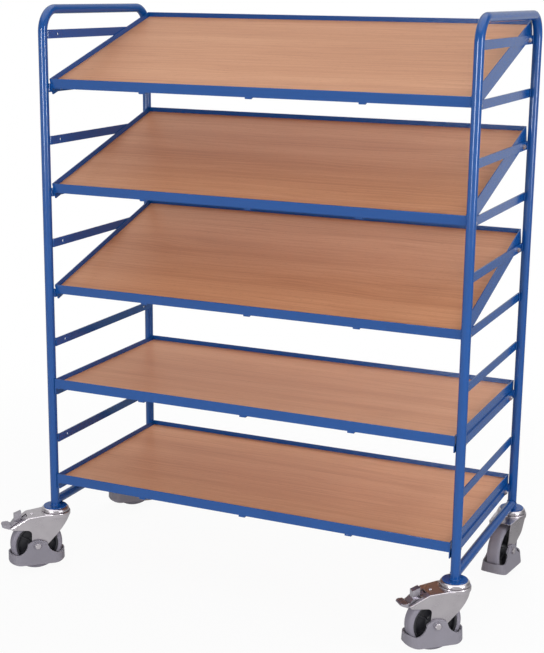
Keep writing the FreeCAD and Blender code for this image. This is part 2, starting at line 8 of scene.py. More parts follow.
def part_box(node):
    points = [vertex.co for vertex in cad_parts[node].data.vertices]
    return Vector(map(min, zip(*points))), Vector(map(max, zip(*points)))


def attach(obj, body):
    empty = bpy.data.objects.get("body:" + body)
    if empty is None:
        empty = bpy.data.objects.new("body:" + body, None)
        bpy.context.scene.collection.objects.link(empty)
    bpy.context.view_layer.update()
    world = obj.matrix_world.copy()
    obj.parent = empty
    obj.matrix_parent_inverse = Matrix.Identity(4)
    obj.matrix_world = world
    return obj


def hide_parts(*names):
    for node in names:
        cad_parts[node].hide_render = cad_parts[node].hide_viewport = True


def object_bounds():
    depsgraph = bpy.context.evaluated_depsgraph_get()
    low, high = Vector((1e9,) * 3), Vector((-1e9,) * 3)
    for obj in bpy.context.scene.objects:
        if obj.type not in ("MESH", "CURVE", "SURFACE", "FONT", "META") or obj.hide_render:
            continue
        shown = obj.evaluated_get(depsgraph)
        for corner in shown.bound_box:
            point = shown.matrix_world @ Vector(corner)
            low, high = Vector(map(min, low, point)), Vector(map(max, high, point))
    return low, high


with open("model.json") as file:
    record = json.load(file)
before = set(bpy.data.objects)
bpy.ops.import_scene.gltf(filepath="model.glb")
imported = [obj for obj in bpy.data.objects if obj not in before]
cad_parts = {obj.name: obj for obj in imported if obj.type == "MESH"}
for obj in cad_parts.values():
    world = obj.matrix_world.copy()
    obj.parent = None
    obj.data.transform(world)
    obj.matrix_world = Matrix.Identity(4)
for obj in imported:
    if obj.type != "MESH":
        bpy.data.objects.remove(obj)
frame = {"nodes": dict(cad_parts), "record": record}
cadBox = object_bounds()
nodes = frame["nodes"]
record = frame["record"]
joints = {joint["name"]: joint for joint in record["behaviour"]["joints"]}
bodyOf = {node: body for body, members in record["behaviour"]["bodies"].items() for node in members}
slotOf = {part["node"]: part["material_slot"] for part in record["subparts"]}
casters = ["front_left", "front_right", "rear_left", "rear_right"]


# one socket of a node tree, so that shader maths reads as plain sums
class Flow:
    def __init__(self, tree, socket=None):
        self.tree = tree
        self.socket = socket

    def node(self, kind, settings, values, output=0):
        made = self.tree.nodes.new(kind)
        for name, value in settings.items():
            if name == "stops":
                while len(made.color_ramp.elements) < len(value):
                    made.color_ramp.elements.new(1.0)
                for element, (place, colour) in zip(made.color_ramp.elements, value):
                    element.position = place
                    element.color = colour
            else:
                setattr(made, name, value)
        for name, value in values.items():
            if isinstance(value, Flow):
                self.tree.links.new(value.socket, made.inputs[name])
            else:
                made.inputs[name].default_value = value
        return Flow(self.tree, made.outputs[output])

    def math(self, operation, first, second):
        return self.node("ShaderNodeMath", {"operation": operation}, {0: first, 1: second})

    def __add__(self, other):
        return self.math("ADD", self, other)

    def __radd__(self, other):
        return self.math("ADD", other, self)

    def __sub__(self, other):
        return self.math("SUBTRACT", self, other)

    def __rsub__(self, other):
        return self.math("SUBTRACT", other, self)

    def __mul__(self, other):
        return self.math("MULTIPLY", self, other)

    def __rmul__(self, other):
        return self.math("MULTIPLY", other, self)


def tone(red, green, blue):
    # a colour on the 0 to 255 scale becomes the linear colour that a shader takes
    linear = []
    for part in (red, green, blue):
        share = part / 255
        linear.append(share / 12.92 if share < 0.04045 else ((share + 0.055) / 1.055) ** 2.4)
    return (*linear, 1.0)


white = (1.0, 1.0, 1.0, 1.0)
black = (0.0, 0.0, 0.0, 1.0)


def startMaterial(name):
    material = bpy.data.materials.new(name)
    material.use_nodes = True
    flow = Flow(material.node_tree)
    place = flow.node("ShaderNodeTexCoord", {}, {}, "Object")
    return material, flow, place


def endMaterial(flow, fixed, varied):
    shader = flow.tree.nodes["Principled BSDF"]
    for name, value in fixed.items():
        shader.inputs[name].default_value = value
    for name, value in varied.items():
        flow.tree.links.new(value.socket, shader.inputs[name])


def cloud(flow, place, scale, detail):
    values = {"Vector": place, "Scale": scale, "Detail": detail}
    return flow.node("ShaderNodeTexNoise", {}, values, "Fac")


def drawnCloud(flow, place, stretch, detail, scale=1.0):
    # a cloud with its own scale along each axis
    drawn = flow.node("ShaderNodeMapping", {}, {"Vector": place, "Scale": stretch})
    return cloud(flow, drawn, scale, detail)


def blendTone(flow, share, first, second):
    return flow.node("ShaderNodeMix", {"data_type": "RGBA"}, {0: share, 6: first, 7: second}, 2)


def toneRamp(flow, value, stops):
    return flow.node("ShaderNodeValToRGB", {"stops": stops}, {"Fac": value})


def ease(flow, value, start, end, low=0.0, high=1.0):
    # goes softly from low to high while the value goes from start to end
    values = {"Value": value, "From Min": start, "From Max": end, "To Min": low, "To Max": high}
    return flow.node("ShaderNodeMapRange", {"interpolation_type": "SMOOTHSTEP"}, values)


def axisOf(flow, place, letter):
    return flow.node("ShaderNodeSeparateXYZ", {}, {"Vector": place}, letter)


def bump(flow, height, strength, depth):
    values = {"Height": height, "Strength": strength, "Distance": depth}
    return flow.node("ShaderNodeBump", {}, values)


# powder coat: even blue with the faint orange peel of a baked coat
blueCoat = {
    "shade": tone(11, 68, 135),
    "lit": tone(15, 76, 145),
    "patches": 6.0,
    "rough": 0.13,
    "roughSpread": 0.08,
    "roughPatches": 45.0,
    "peel": 520.0,
    "peelStrength": 0.12,
    "peelDepth": 0.0004,
    "ior": 1.5,
}


def makeBlueCoat():
    material, flow, place = startMaterial("blueCoat")
    patches = cloud(flow, place, blueCoat["patches"], detail=3.0)
    peel = cloud(flow, place, blueCoat["peel"], detail=2.0)
    worn = cloud(flow, place, blueCoat["roughPatches"], detail=3.0)
    endMaterial(flow, {"IOR": blueCoat["ior"]}, {
        "Base Color": blendTone(flow, patches, blueCoat["shade"], blueCoat["lit"]),
        "Roughness": blueCoat["rough"] + blueCoat["roughSpread"] * worn,
        "Normal": bump(flow, peel, blueCoat["peelStrength"], blueCoat["peelDepth"]),
    })
    return material


# beech decor foil: long wavy streaks, broad warm bands and short dark flecks along the shelf
beechBoard = {
    "pale": tone(212, 155, 118),
    "mid": tone(202, 143, 105),
    "deep": tone(188, 128, 91),
    "fleck": tone(156, 100, 70),
    "toneStops": (0.34, 0.5, 0.66),  # deep, mid, pale
    "drift": (0.9, 3.0, 3.0),
    "driftScale": 2.0,
    "sway": 0.05,  # how far the drift moves the streaks, in metres
    "bands": (0.7, 14.0, 14.0),
    "bandShare": 0.45,
    "streaks": (2.2, 170.0, 170.0),
    "streakShare": 0.55,
    "flecks": (55.0, 800.0, 800.0),
    "fleckStops": (0.64, 0.74),
    "fleckShare": 0.5,
    "rough": 0.34,
    "roughSpread": 0.08,
    "fleckRelief": 0.4,
    "reliefStrength": 0.06,
    "reliefDepth": 0.0003,
    "ior": 1.5,
    "specular": 0.25,
}


def makeBeechBoard():
    material, flow, place = startMaterial("beechBoard")
    drift = drawnCloud(flow, place, beechBoard["drift"], detail=2.0, scale=beechBoard["driftScale"])
    sway = drift * beechBoard["sway"]
    swayed = flow.node("ShaderNodeCombineXYZ", {}, {"X": 0.0, "Y": sway, "Z": sway})
    wavy = flow.node("ShaderNodeVectorMath", {"operation": "ADD"}, {0: place, 1: swayed})
    bands = drawnCloud(flow, wavy, beechBoard["bands"], detail=4.0)
    streaks = drawnCloud(flow, wavy, beechBoard["streaks"], detail=3.0)
    flecks = drawnCloud(flow, wavy, beechBoard["flecks"], detail=1.0)
    grain = beechBoard["bandShare"] * bands + beechBoard["streakShare"] * streaks
    tones = (beechBoard["deep"], beechBoard["mid"], beechBoard["pale"])
    wood = toneRamp(flow, grain, list(zip(beechBoard["toneStops"], tones)))
    specks = toneRamp(flow, flecks, list(zip(beechBoard["fleckStops"], (black, white))))
    height = streaks + specks * beechBoard["fleckRelief"]
    endMaterial(flow, {"IOR": beechBoard["ior"], "Specular IOR Level": beechBoard["specular"]}, {
        "Base Color": blendTone(flow, specks * beechBoard["fleckShare"], wood, beechBoard["fleck"]),
        "Roughness": beechBoard["rough"] + beechBoard["roughSpread"] * streaks,
        "Normal": bump(flow, height, beechBoard["reliefStrength"], beechBoard["reliefDepth"]),
    })
    return material


# bright zinc plating: cloudy steel with fine drawing lines, duller on the pedals
zincPlate = {"dull": tone(176, 171, 177), "bright": tone(212, 207, 211), "rough": 0.2}
pedalPlate = {"dull": tone(150, 147, 156), "bright": tone(186, 182, 190), "rough": 0.24}
plating = {
    "clouds": 26.0,
    "cloudShare": 0.7,
    "cloudRough": 0.12,
    "lines": (160.0, 160.0, 1200.0),
    "lineShare": 0.3,
    "lineRough": 0.06,
    "lineStrength": 0.05,
    "lineDepth": 0.0002,
}


def makePlating(name, plate):
    material, flow, place = startMaterial(name)
    clouds = cloud(flow, place, plating["clouds"], detail=4.0)
    lines = drawnCloud(flow, place, plating["lines"], detail=2.0)
    share = plating["cloudShare"] * clouds + plating["lineShare"] * lines
    endMaterial(flow, {"Metallic": 1.0}, {
        "Base Color": blendTone(flow, share, plate["dull"], plate["bright"]),
        "Roughness": plate["rough"] + plating["cloudRough"] * clouds + plating["lineRough"] * lines,
        "Normal": bump(flow, lines, plating["lineStrength"], plating["lineDepth"]),
    })
    return material


# moulded pieces: a grained skin whose tone drifts a little
blackCore = {"low": tone(24, 24, 29), "high": tone(38, 38, 44), "rough": 0.42, "grain": 900.0}
greyTyre = {"low": tone(117, 114, 126), "high": tone(134, 130, 142), "rough": 0.55, "grain": 600.0}
greyGuard = {"low": tone(117, 114, 124), "high": tone(131, 128, 138), "rough": 0.45, "grain": 1100.0}
moulding = {
    "drift": 18.0,
    "driftShare": 0.75,
    "grainShare": 0.25,
    "grainRough": 0.12,
    "grainStrength": 0.15,
    "grainDepth": 0.0003,
    "ior": 1.48,
}


def makeMoulding(name, skin):
    material, flow, place = startMaterial(name)
    drift = cloud(flow, place, moulding["drift"], detail=3.0)
    grain = cloud(flow, place, skin["grain"], detail=2.0)
    share = moulding["driftShare"] * drift + moulding["grainShare"] * grain
    endMaterial(flow, {"IOR": moulding["ior"]}, {
        "Base Color": blendTone(flow, share, skin["low"], skin["high"]),
        "Roughness": skin["rough"] + moulding["grainRough"] * grain,
        "Normal": bump(flow, grain, moulding["grainStrength"], moulding["grainDepth"]),
    })
    return material


finishes = {
    "blue_coat": makeBlueCoat(),
    "beech_board": makeBeechBoard(),
    "zinc": makePlating("zincPlate", zincPlate),
    "pedal_zinc": makePlating("pedalPlate", pedalPlate),
    "black_core": makeMoulding("blackCore", blackCore),
    "grey_tyre": makeMoulding("greyTyre", greyTyre),
    "grey_guard": makeMoulding("greyGuard", greyGuard),
}
for nodeName, node in nodes.items():
    node.data.materials.clear()
    node.data.materials.append(finishes[slotOf[nodeName]])
print("finishes made:", ", ".join(finishes))


# shared by all pieces: distances in metres, angles in degrees
meshWork = {
    "nodeGap": 1e-5,  # corners of a CAD node's triangles that count as one
    "joinGap": 1e-6,  # the same for pieces made here
    "flatAngle": 0.8,
    "cornerAngle": 30.0,  # edges that get rounded
    "sharpAngle": 35.0,  # edges that shade as sharp
    "turnedSharpAngle": 32.0,
}


def addObject(name, data):
    made = bpy.data.objects.new(name, data)
    bpy.context.scene.collection.objects.link(made)
    return made


def addMesh(name, shape, material):
    mesh = bpy.data.meshes.new(name)
    shape.to_mesh(mesh)
    shape.free()
    mesh.materials.append(material)
    return addObject(name, mesh)


def finishPiece(name, shape, slotName, body, sharp=meshWork["sharpAngle"]):
    piece = addMesh(name, shape, finishes[slotName])
    piece.data.shade_smooth()
    piece.data.set_sharp_from_angle(angle=math.radians(sharp))
    even = piece.modifiers.new("evenShading", "WEIGHTED_NORMAL")
    even.keep_sharp = True
    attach(piece, body)
    return piece


def pieceName(start, nodeName):
    return start + "".join(word.capitalize() for word in nodeName.split("_"))


def standIn(name, nodeName, shape, sharp=meshWork["sharpAngle"]):
    # a piece that is shown in place of a CAD node
    piece = finishPiece(name, shape, slotOf[nodeName], bodyOf[nodeName], sharp)
    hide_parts(nodeName)


def mergedCopy(nodeName, flatten=True):
    # the node's loose triangles joined, with flat areas made one face again
    shape = bmesh.new()
    shape.from_mesh(nodes[nodeName].data)
    bmesh.ops.remove_doubles(shape, verts=shape.verts, dist=meshWork["nodeGap"])
    if flatten:
        bmesh.ops.dissolve_limit(shape, angle_limit=math.radians(meshWork["flatAngle"]),
                                 verts=shape.verts, edges=shape.edges)
    return shape


def closeShape(shape):
    bmesh.ops.remove_doubles(shape, verts=shape.verts, dist=meshWork["joinGap"])
    bmesh.ops.holes_fill(shape, edges=shape.edges, sides=0)
    bmesh.ops.recalc_face_normals(shape, faces=shape.faces)


def move(shape, matrix):
    bmesh.ops.transform(shape, matrix=matrix, verts=shape.verts)


def aimed(way, axis):
    # a turn that points the named axis along a way
    return way.to_track_quat(axis, "Y").to_matrix().to_4x4()


def bevelEdges(shape, edges, width, segments):
    bmesh.ops.bevel(shape, geom=edges, offset=width, offset_type="OFFSET", affect="EDGES",
                    segments=segments, profile=0.5, clamp_overlap=True, material=-1)


def roundCorners(shape, width):
    least = math.radians(meshWork["cornerAngle"])
    corners = [edge for edge in shape.edges if edge.is_manifold and edge.calc_face_angle(0.0) > least]
    bevelEdges(shape, corners, width, segments=2)


# edge radius of each kind of piece, in metres
edgeRadius = {
    "foot_tube": 0.0,
    "rungs": 0.0007,
    "end_plates": 0.0005,
    "rims": 0.0005,
    "supports": 0.0007,
    "board": 0.0006,
    "pedal": 0.0007,
    "shelf_bolts": 0.0006,
    "shelf_nuts": 0.0006,
}


def makeSoftPiece(nodeName, width):
    shape = mergedCopy(nodeName)
    if width:
        roundCorners(shape, width)
    standIn(pieceName("soft", nodeName), nodeName, shape)


softened = [(nodeName, width) for nodeName in sorted(nodes)
            for word, width in edgeRadius.items() if nodeName.endswith(word)]
for nodeName, width in softened:
    makeSoftPiece(nodeName, width)
print("edges rounded on", len(softened), "pieces")


def onlyEdges(parts):
    return [part for part in parts if isinstance(part, bmesh.types.BMEdge)]


def edgesAt(verts):
    return list(dict.fromkeys(edge for vert in verts for edge in vert.link_edges))


def vertsAt(edges):
    return list(dict.fromkeys(vert for edge in edges for vert in edge.verts))


def pull(shape, edges, way):
    # an open edge loop drawn out along a straight way
    drawn = bmesh.ops.extrude_edge_only(shape, edges=edges)["geom"]
    verts = [part for part in drawn if isinstance(part, bmesh.types.BMVert)]
    bmesh.ops.translate(shape, verts=verts, vec=way)
    ends = set(verts)
    return [edge for edge in onlyEdges(drawn) if ends.issuperset(edge.verts)]


def spinRound(shape, verts, edges, centre, axis, steps):
    bmesh.ops.spin(shape, geom=verts + edges, cent=centre, axis=axis, dvec=(0, 0, 0),
                   angle=2 * math.pi, steps=steps, use_merge=True, use_duplicate=False)


# side tube: up the front post, round the bend, along the push bar and down the rear post
sideTube = {"around": 40, "bendRadius": 0.066, "bendSteps": 18}


def bendBack(shape, edges, centre):
    # an open edge loop swept a quarter turn about an axis across the trolley
    swept = bmesh.ops.spin(shape, geom=edges + vertsAt(edges), cent=centre, axis=(1, 0, 0),
                           dvec=(0, 0, 0), angle=-math.pi / 2, steps=sideTube["bendSteps"],
                           use_merge=False, use_duplicate=False)["geom_last"]
    return onlyEdges(swept)


def makeSideTube(word):
    nodeName = word + "_side_tube"
    low, high = (Vector(corner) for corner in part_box(nodeName))
    radius = (high.x - low.x) / 2
    bend = sideTube["bendRadius"]
    foot = Vector((low.x + radius, low.y + radius, low.z))
    bendZ = high.z - radius - bend
    run = high.y - low.y - 2 * radius
    shape = bmesh.new()
    bmesh.ops.create_circle(shape, segments=sideTube["around"], radius=radius,
                            matrix=Matrix.Translation(foot))
    edges = pull(shape, shape.edges[:], (0, 0, bendZ - foot.z))
    edges = bendBack(shape, edges, (foot.x, foot.y + bend, bendZ))
    edges = pull(shape, edges, (0, run - 2 * bend, 0))
    edges = bendBack(shape, edges, (foot.x, foot.y + run - bend, bendZ))
    pull(shape, edges, (0, 0, foot.z - bendZ))
    closeShape(shape)
    standIn(word + "SideTube", nodeName, shape)


# weld beads that hold the frame together: outer, inner, foot and saddle are radii in metres
weldBead = {
    "around": 10,
    "steps": 9,
    "swell": 0.16,
    "taper": 0.45,
    "ringSteps": 48,
    "outer": 0.0020,  # along the outer face of a rung's end
    "outerInset": 0.0060,
    "inner": 0.0012,  # in the gap between a rung's end and the post
    "innerInset": 0.0024,
    "innerReach": 0.0012,
    "foot": 0.0024,  # round the post on its foot plate
    "footRise": 0.0004,
    "footOut": 0.0006,
    "saddle": 0.0018,  # round the foot tube where it meets the post
    "saddleOut": 0.0004,
}
rungBars = {"count": 10, "height": 0.025}
upward = Vector((0, 0, 1))


def addBead(shape, start, run, radius):
    # a rod whose thickness rises and falls like laid weld metal, thin at both ends
    steps = weldBead["steps"]
    waves = [1 + weldBead["swell"] * (-1) ** step for step in range(steps - 1)]
    sizes = [weldBead["taper"], *waves, weldBead["taper"]]
    ring = bmesh.ops.create_circle(shape, segments=weldBead["around"], radius=radius * sizes[0],
                                   matrix=Matrix.Translation(start) @ aimed(run, "Z"))["verts"]
    edges = edgesAt(ring)
    for step in range(steps):
        edges = pull(shape, edges, run / steps)
        centre = start + run * (step + 1) / steps
        growth = sizes[step + 1] / sizes[step]
        bmesh.ops.scale(shape, vec=(growth, growth, growth), space=Matrix.Translation(-centre),
                        verts=vertsAt(edges))


def addRing(shape, centre, axis, across, radius, thick):
    # a bead closed round a tube
    place = Matrix.Translation(centre + across * radius) @ aimed(axis.cross(across), "Z")
    ring = bmesh.ops.create_circle(shape, segments=weldBead["around"], radius=thick,
                                   matrix=place)["verts"]
    spinRound(shape, ring, edgesAt(ring), centre, axis, weldBead["ringSteps"])


def makeWelds(word):
    outward = Vector((-1 if word == "left" else 1, 0, 0))
    low, high = (Vector(corner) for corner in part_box(word + "_rungs"))
    tubeLow, tubeHigh = (Vector(corner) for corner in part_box(word + "_side_tube"))
    radius = (tubeHigh.x - tubeLow.x) / 2
    outerX = low.x if word == "left" else high.x
    pitch = (high.z - low.z - rungBars["height"]) / (rungBars["count"] - 1)
    run = upward * rungBars["height"]
    shape = bmesh.new()
    for number in range(rungBars["count"]):
        for endY, toPost in ((low.y, -1), (high.y, 1)):
            corner = Vector((outerX, endY, low.z + number * pitch))
            beyond = Vector((0, toPost, 0))
            outer = corner + outward * weldBead["outer"] - beyond * weldBead["outerInset"]
            inner = corner - outward * weldBead["innerInset"] + beyond * weldBead["innerReach"]
            addBead(shape, outer, run, weldBead["outer"])
            addBead(shape, inner, run, weldBead["inner"])
    for postY in (tubeLow.y + radius, tubeHigh.y - radius):
        foot = Vector((tubeLow.x + radius, postY, tubeLow.z + weldBead["footRise"]))
        addRing(shape, foot, upward, Vector((1, 0, 0)), radius + weldBead["footOut"], weldBead["foot"])
    closeShape(shape)
    finishPiece(word + "Welds", shape, "blue_coat", bodyOf[word + "_rungs"])


def makeFootWelds(word):
    tubeLow, tubeHigh = (Vector(corner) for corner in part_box(word + "_side_tube"))
    footLow, footHigh = (Vector(corner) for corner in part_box(word + "_foot_tube"))
    radius = (tubeHigh.x - tubeLow.x) / 2
    along = Vector((0, 1, 0))
    shape = bmesh.new()
    for postY, inwards in ((tubeLow.y + radius, 1), (tubeHigh.y - radius, -1)):
        middle = Vector((footLow.x + radius, postY, (footLow.z + footHigh.z) / 2))
        before = len(shape.verts)
        addRing(shape, middle, along, upward, radius + weldBead["saddleOut"], weldBead["saddle"])
        shape.verts.ensure_lookup_table()
        for vert in shape.verts[before:]:  # the ring leans to where two equal tubes meet
            vert.co.y += inwards * min(abs(vert.co.z - middle.z), radius)
    closeShape(shape)
    finishPiece(word + "FootWelds", shape, "blue_coat", bodyOf[word + "_foot_tube"])


for word in ("left", "right"):
    makeSideTube(word)
    makeWelds(word)
    makeFootWelds(word)
print("side tubes bent and welds laid")


def casterFrame(caster):
    # the caster's own frame: swivel axis on Z, wheel trailing to +X, axle along Y;
    # and the middle of the axle in it
    swivel = Vector(joints[caster + "_swivel_turn"]["pos_m"])
    roll = joints[caster + "_wheel_roll"]
    axle = Vector(roll["pos_m"])
    trail = Vector((axle.x - swivel.x, axle.y - swivel.y, 0))
    turn = Matrix((trail.normalized(), Vector(roll["axis"]), upward)).transposed().to_4x4()
    return Matrix.Translation((swivel.x, swivel.y, 0)) @ turn, Vector((trail.length, 0, axle.z))


def addOutline(shape, points, centre, axis, steps, closed=True):
    # points joined in a row and spun a full turn
    verts = [shape.verts.new(centre + Vector(point)) for point in points]
    numbers = range(0 if closed else 1, len(verts))
    edges = [shape.edges.new((verts[number], verts[number - 1])) for number in numbers]
    spinRound(shape, verts, edges, centre, axis, steps)


def addUpright(shape, outline, centre, steps, closed=True):
    # outline of (radius, height) points about an upright axis
    points = [(radius, 0, height) for radius, height in outline]
    addOutline(shape, points, centre, (0, 0, 1), steps, closed)


def addTurned(shape, outline, axle, steps):
    # outline of (radius, half width) points, mirrored to the other side, about the axle
    mirrored = [(radius, -width) for radius, width in reversed(outline)]
    points = [(0, width, radius) for radius, width in outline + mirrored]
    addOutline(shape, points, axle, (0, 1, 0), steps)


# round pieces at the foot of each post, as radius and height from the caster's top in metres
postFeet = {
    "foot_plates": [
        (0.00605, 0.0), (0.0350, 0.0), (0.0357, 0.0003), (0.0360, 0.0009), (0.0360, 0.0019),
        (0.0357, 0.0026), (0.0350, 0.0030), (0.0114, 0.0030), (0.0114, 0.0280), (0.00605, 0.0280),
    ],
    "swivel_heads": [
        (0.00605, 0.0), (0.0340, 0.0), (0.0362, -0.0003), (0.0384, -0.0013), (0.0402, -0.0029),
        (0.0415, -0.0050), (0.0422, -0.0073), (0.0425, -0.0096), (0.0423, -0.0112),
        (0.0416, -0.0122), (0.0404, -0.0128), (0.0388, -0.0132), (0.00605, -0.0132),
    ],
    "steps": 96,
}


def makePostFeet(nodeName):
    shape = bmesh.new()
    for caster in casters:
        top = Vector(joints[caster + "_swivel_turn"]["pos_m"])
        addUpright(shape, postFeet[nodeName], top, postFeet["steps"])
    closeShape(shape)
    standIn(pieceName("turned", nodeName), nodeName, shape, meshWork["turnedSharpAngle"])


# wheel: grey tread bonded round a moulded black core, as radius and half width in metres
wheelTyre = {
    "outline": [
        (0.0650, 0.0188), (0.0668, 0.0190), (0.0676, 0.0200), (0.0705, 0.0200), (0.0730, 0.0196),
        (0.0752, 0.0184), (0.0771, 0.0164), (0.0785, 0.0138), (0.0794, 0.0104), (0.0799, 0.0060),
        (0.0800, 0.0020),
    ],
    "steps": 112,
}
wheelCore = {
    "outline": [
        (0.00755, 0.0226), (0.0170, 0.0226), (0.0186, 0.0221), (0.0197, 0.0208), (0.0206, 0.0150),
        (0.0220, 0.0098), (0.0245, 0.0072), (0.0285, 0.0062), (0.0480, 0.0062), (0.0535, 0.0072),
        (0.0562, 0.0096), (0.0574, 0.0130), (0.0582, 0.0168), (0.0592, 0.0178), (0.0636, 0.0180),
        (0.0650, 0.0176),
    ],
    "steps": 96,
    "ribs": 6,
    "ribFrom": 0.0195,
    "ribTo": 0.0580,
    "ribThick": 0.0030,
    "ribHalf": 0.0125,
}


def makeWheel(caster):
    place, axle = casterFrame(caster)
    tyre = bmesh.new()
    addTurned(tyre, wheelTyre["outline"], axle, wheelTyre["steps"])
    core = bmesh.new()
    addTurned(core, wheelCore["outline"], axle, wheelCore["steps"])
    span = wheelCore["ribTo"] - wheelCore["ribFrom"]
    size = Matrix.Diagonal((wheelCore["ribThick"], 2 * wheelCore["ribHalf"], span, 1))
    out = Matrix.Translation((0, 0, wheelCore["ribFrom"] + span / 2))
    for number in range(wheelCore["ribs"]):
        turn = Matrix.Rotation(2 * math.pi * number / wheelCore["ribs"], 4, "Y")
        bmesh.ops.create_cube(core, size=1.0, matrix=Matrix.Translation(axle) @ turn @ out @ size)
    for shape, word in ((tyre, "tyre"), (core, "wheel_core")):
        nodeName = caster + "_" + word
        move(shape, place)
        closeShape(shape)
        standIn(pieceName("turned", nodeName), nodeName, shape, meshWork["turnedSharpAngle"])


# pressed fork: sheet bent over from the roof into the cheeks, a turned crown on top,
# and one domed rivet on a braked one
pressedFork = {
    "bendRadius": 0.0036,
    "bendShares": (0.2, 0.4, 0.6, 0.8),
    "leastRun": 0.01,  # shorter edges are not the roof's
    "facing": 0.7,  # how far roof and cheek face up and sideways
    "outside": 0.024,  # the bends lie further out than this
    "cutGap": 1e-7,
    "crown": [
        (0.0400, 0.1648), (0.0430, 0.1648), (0.0442, 0.1664), (0.0452, 0.1684), (0.0458, 0.1698),
        (0.04602, 0.1710), (0.04602, 0.1786), (0.0459, 0.17945), (0.04552, 0.18025),
        (0.0449, 0.1808), (0.0440, 0.18112), (0.0400, 0.18112),
    ],
    "crownSteps": 96,
    "rivet": [
        (0.0048, -0.0012), (0.0048, 0.0002), (0.0043, 0.0013), (0.0030, 0.0021),
        (0.0014, 0.0025), (0.0, 0.0026),
    ],
    "rivetPlace": (0.0730, 0.0, 0.1760),
    "rivetSteps": 24,
}


def roofBends(nodeName, place):
    # planes that touch the bend along each straight run of the roof's two long edges
    shape = mergedCopy(nodeName)
    move(shape, place.inverted())
    shape.normal_update()
    radius = pressedFork["bendRadius"]
    facing = pressedFork["facing"]
    planes = []
    for edge in shape.edges:
        if not (edge.is_manifold and edge.is_convex and edge.calc_length() > pressedFork["leastRun"]):
            continue
        upper, lower = sorted((face.normal for face in edge.link_faces), key=lambda normal: -normal.z)
        corner = edge.verts[0].co
        if upper.z > facing and abs(lower.y) > facing and abs(corner.y) > pressedFork["outside"]:
            centre = corner - (upper + lower) * (radius / (1 + upper.dot(lower)))
            for share in pressedFork["bendShares"]:
                out = upper.slerp(lower, share)
                planes.append((centre + out * radius, out))
    shape.free()
    return planes


def makeFork(caster):
    nodeName = caster + "_fork"
    place = casterFrame(caster)[0]
    shape = mergedCopy(nodeName, flatten=False)
    move(shape, place.inverted())
    for point, out in roofBends(nodeName, place):
        everything = shape.verts[:] + shape.edges[:] + shape.faces[:]
        cut = bmesh.ops.bisect_plane(shape, geom=everything, dist=pressedFork["cutGap"],
                                     plane_co=point, plane_no=out, clear_outer=True)["geom_cut"]
        bmesh.ops.holes_fill(shape, edges=onlyEdges(cut), sides=0)
    move(shape, place)
    closeShape(shape)
    standIn(pieceName("bent", nodeName), nodeName, shape)


def makeCrown(caster):
    nodeName = caster + "_fork"
    shape = bmesh.new()
    addUpright(shape, pressedFork["crown"], Vector(), pressedFork["crownSteps"])
    move(shape, casterFrame(caster)[0])
    closeShape(shape)
    finishPiece(pieceName("crown", nodeName), shape, "zinc", bodyOf[nodeName])


def makeRivet(caster):
    nodeName = caster + "_fork"
    centre = Vector(pressedFork["rivetPlace"])
    shape = bmesh.new()
    addUpright(shape, pressedFork["rivet"], centre, pressedFork["rivetSteps"], closed=False)
    move(shape, casterFrame(caster)[0])
    closeShape(shape)
    finishPiece(pieceName("rivet", nodeName), shape, "zinc", bodyOf[nodeName])


# foot guard: the moulded ring, its ears drawn in against the fork's cheeks
footGuard = {
    "edge": 0.0012,
    "earFrom": 0.0800,
    "earTop": 0.0970,
    "topHalf": 0.0316,  # half width at the ears' top
    "lean": 0.1387,  # how fast the sides spread downwards
    "wall": 0.0040,
    "cheek": 0.02615,
}


def makeGuard(caster):
    nodeName = caster + "_guard"
    place = casterFrame(caster)[0]
    shape = mergedCopy(nodeName)
    move(shape, place.inverted())
    for vert in shape.verts:
        outerHalf = footGuard["topHalf"] + footGuard["lean"] * (footGuard["earTop"] - vert.co.z)
        wallMiddle = outerHalf - footGuard["wall"] / 2
        if vert.co.z > footGuard["earFrom"] and footGuard["cheek"] < abs(vert.co.y) < wallMiddle:
            vert.co.y = math.copysign(footGuard["cheek"], vert.co.y)
    roundCorners(shape, footGuard["edge"])
    move(shape, place)
    standIn(pieceName("soft", nodeName), nodeName, shape)


# axle: broad rounding round the outer faces of the bolt's head and the nut
axleBolt = {
    "face": 0.0415,  # from the middle to the outer faces
    "corner": 0.0070,  # the outlines of head and nut lie outside this radius
    "chamfer": 0.0020,
    "segments": 3,
    "least": 0.5,  # edges that turn more than this, in radians
}


def makeAxle(caster):
    nodeName = caster + "_axle"
    place, axle = casterFrame(caster)
    shape = mergedCopy(nodeName)
    move(shape, place.inverted())
    outer = set()
    for vert in shape.verts:
        onFace = abs(abs(vert.co.y) - axleBolt["face"]) < meshWork["nodeGap"]
        if onFace and math.hypot(vert.co.x - axle.x, vert.co.z - axle.z) > axleBolt["corner"]:
            outer.add(vert)
    corners = [edge for edge in shape.edges
               if outer.issuperset(edge.verts) and edge.calc_face_angle(0.0) > axleBolt["least"]]
    bevelEdges(shape, corners, axleBolt["chamfer"], axleBolt["segments"])
    move(shape, place)
    standIn(pieceName("soft", nodeName), nodeName, shape)


for nodeName in ("foot_plates", "swivel_heads"):
    makePostFeet(nodeName)
for caster in casters:
    makeWheel(caster)
    makeFork(caster)
    makeCrown(caster)
    if caster + "_pedal" in nodes:
        makeRivet(caster)
    makeGuard(caster)
    makeAxle(caster)
print("casters dressed")


# the photograph's view: metres from the middle between the posts, degrees, millimetres of lens
photoView = {
    "place": (1.6234, -3.7476, 1.7649),
    "yaw": 24.048,
    "pitch": 13.659,
    "roll": 0.677,
    "lens": 76.615,
}


